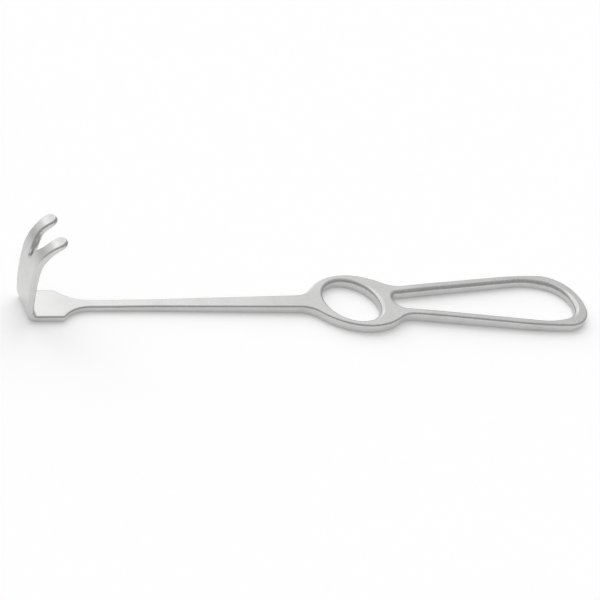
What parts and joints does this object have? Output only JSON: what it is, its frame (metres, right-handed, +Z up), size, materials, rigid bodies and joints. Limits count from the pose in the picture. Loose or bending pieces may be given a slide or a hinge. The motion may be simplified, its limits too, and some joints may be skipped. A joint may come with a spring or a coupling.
{
  "type": "handheld surgical retractor",
  "caption": "Slim one-piece surgical retractor with a forked, hooked blade at one end and a finger ring and open loop handle at the other.",
  "frame": {"origin": "middle of the bounding box at the height of the handle's flat underside", "axes": "+X along the instrument from the blade to the end of the handle loop, +Y across its width, +Z up, the way the blade and its prongs rise"},
  "size_m": [0.2206, 0.0286, 0.033],
  "materials": {
    "satin_steel": "satin"
  },
  "bodies": {
    "root": {"retractor": "satin_steel"}
  },
  "joints": []
}
